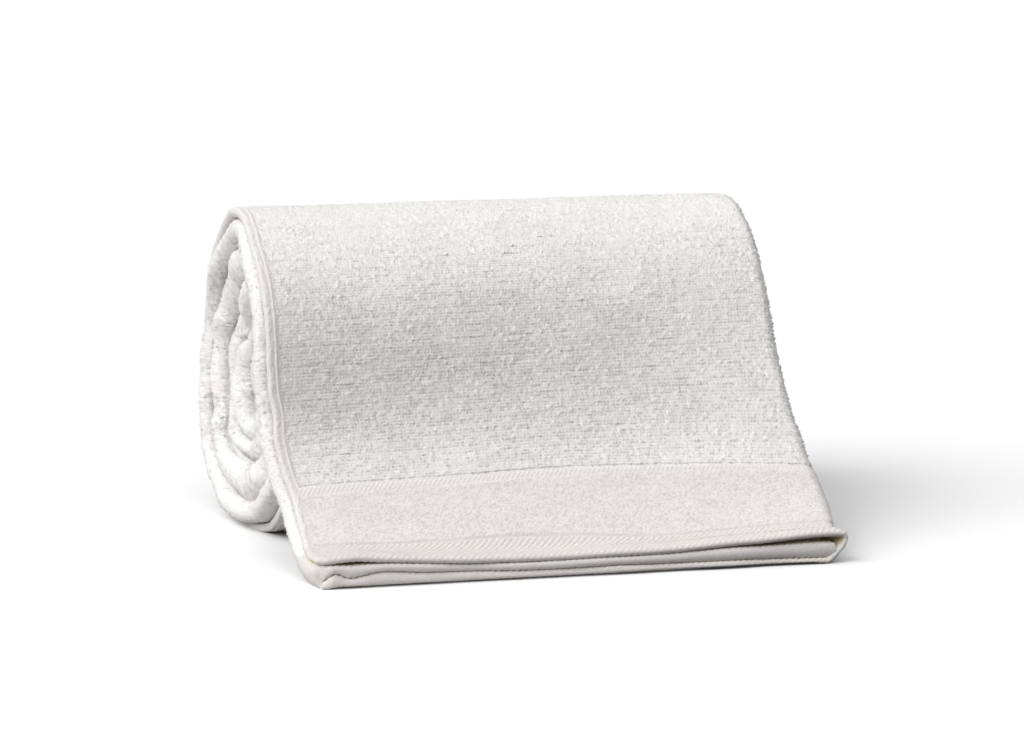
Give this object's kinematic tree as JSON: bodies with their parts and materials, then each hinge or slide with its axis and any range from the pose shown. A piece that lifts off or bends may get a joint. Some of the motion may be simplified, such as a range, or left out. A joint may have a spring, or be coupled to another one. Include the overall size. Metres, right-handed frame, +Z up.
{
  "type": "rolled bath towel",
  "caption": "Plain white terry bath towel, folded in thirds and rolled, with its loose end let down in front of the roll.",
  "frame": {"origin": "on the resting surface, under the middle of the towel's box", "axes": "+X along the axis of the roll, -Y towards the side where the loose end lies, +Z up"},
  "size_m": [0.2492, 0.2322, 0.1499],
  "materials": {
    "white_terry": "warm white cotton terry with a short looped pile, twill bands and a turned hem"
  },
  "bodies": {
    "root": {"towel": "white_terry"}
  },
  "joints": []
}
